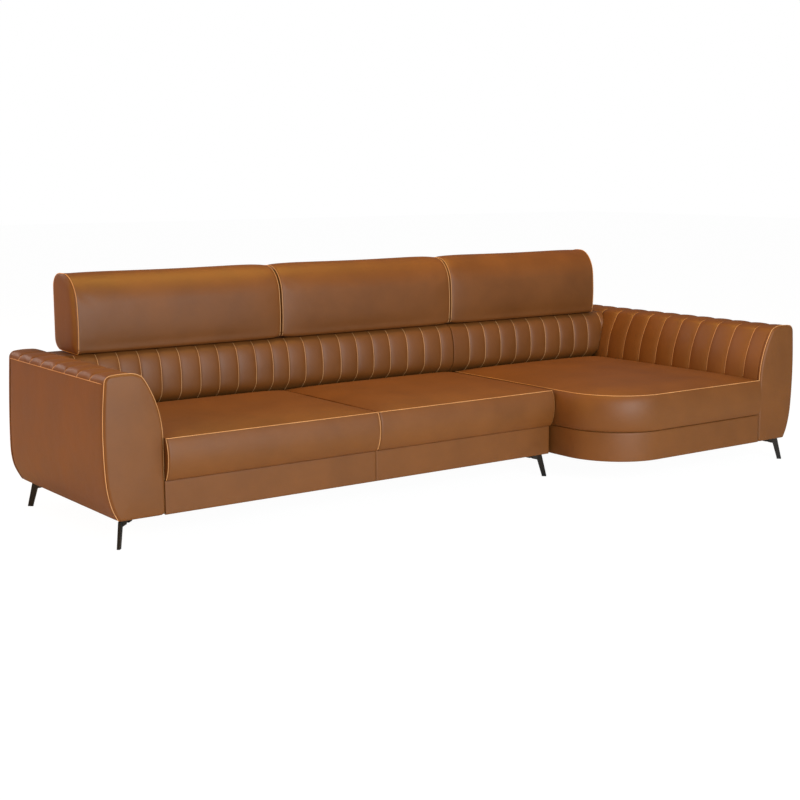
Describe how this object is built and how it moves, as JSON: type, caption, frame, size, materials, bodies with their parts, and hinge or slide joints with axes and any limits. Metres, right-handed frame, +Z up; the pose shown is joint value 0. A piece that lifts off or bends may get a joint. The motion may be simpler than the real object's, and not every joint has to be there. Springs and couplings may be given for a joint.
{
  "type": "sofa with chaise",
  "caption": "Leather corner sofa: two channelled-back seats and a chaise with a rounded corner, flared arms, tilting headrests and splayed steel feet.",
  "frame": {"origin": "on the floor under the middle of the outer box", "axes": "+X along the sofa towards the chaise, +Y towards its back, +Z up"},
  "size_m": [3.48, 1.355, 0.985],
  "materials": {
    "cognac_leather": "satin",
    "plywood": "matte",
    "foam": "matte",
    "felt": "matte",
    "elastic_webbing": "matte",
    "lining_cloth": "matte",
    "black_steel": "satin",
    "zinc_steel": "satin",
    "black_plastic": "matte"
  },
  "bodies": {
    "sofa": {"left_seat_cover": "cognac_leather", "middle_seat_cover": "cognac_leather", "chaise_cover": "cognac_leather", "sofa_apron": "cognac_leather", "chaise_apron": "cognac_leather", "sofa_lumbar_pad": "cognac_leather", "chaise_lumbar_pad": "cognac_leather", "back_top_pads": "cognac_leather", "sofa_back_panel": "cognac_leather", "chaise_back_panel": "cognac_leather", "left_arm_front_panel": "cognac_leather", "left_arm_rear_panel": "cognac_leather", "left_arm_outer_panel": "cognac_leather", "left_arm_channel_pad": "cognac_leather", "right_arm_front_panel": "cognac_leather", "right_arm_rear_panel": "cognac_leather", "right_arm_outer_panel": "cognac_leather", "right_arm_channel_pad": "cognac_leather", "sofa_front_rail": "plywood", "rear_rails": "plywood", "sofa_cross_rails": "plywood", "sofa_spring_rails": "plywood", "corner_blocks": "plywood", "chaise_curved_rail": "plywood", "chaise_cross_rails": "plywood", "chaise_front_deck": "plywood", "sofa_back_frame": "plywood", "chaise_back_frame": "plywood", "left_arm_frame": "plywood", "right_arm_frame": "plywood", "seat_foams": "foam", "chaise_foam": "foam", "seat_felts": "felt", "seat_webbing": "elastic_webbing", "back_webbing": "elastic_webbing", "dust_covers": "lining_cloth", "front_left_foot": "black_steel", "front_middle_foot": "black_steel", "front_right_foot": "black_steel", "rear_left_foot": "black_steel", "rear_middle_foot": "black_steel", "rear_right_foot": "black_steel", "hinge_arms": "zinc_steel", "hinge_pins": "zinc_steel", "hinge_bolts": "zinc_steel", "arm_bolts": "zinc_steel", "foot_screws": "zinc_steel", "module_connectors": "zinc_steel", "foot_glides": "black_plastic", "support_feet": "black_plastic"},
    "left_headrest": {"left_headrest_cushion": "cognac_leather", "left_headrest_frame": "plywood", "left_headrest_ratchet": "zinc_steel"},
    "middle_headrest": {"middle_headrest_cushion": "cognac_leather", "middle_headrest_frame": "plywood", "middle_headrest_ratchet": "zinc_steel"},
    "right_headrest": {"right_headrest_cushion": "cognac_leather", "right_headrest_frame": "plywood", "right_headrest_ratchet": "zinc_steel"}
  },
  "joints": [
    {"name": "left_headrest_tilt", "type": "hinge", "parent": "sofa", "child": "left_headrest", "pos_m": [-1.001, 0.623, 0.707], "axis": [-1, 0, 0], "range_deg": [0, 48]},
    {"name": "middle_headrest_tilt", "type": "hinge", "parent": "sofa", "child": "middle_headrest", "pos_m": [-0.009, 0.623, 0.707], "axis": [-1, 0, 0], "range_deg": [0, 48]},
    {"name": "right_headrest_tilt", "type": "hinge", "parent": "sofa", "child": "right_headrest", "pos_m": [0.992, 0.623, 0.707], "axis": [-1, 0, 0], "range_deg": [0, 48]}
  ]
}
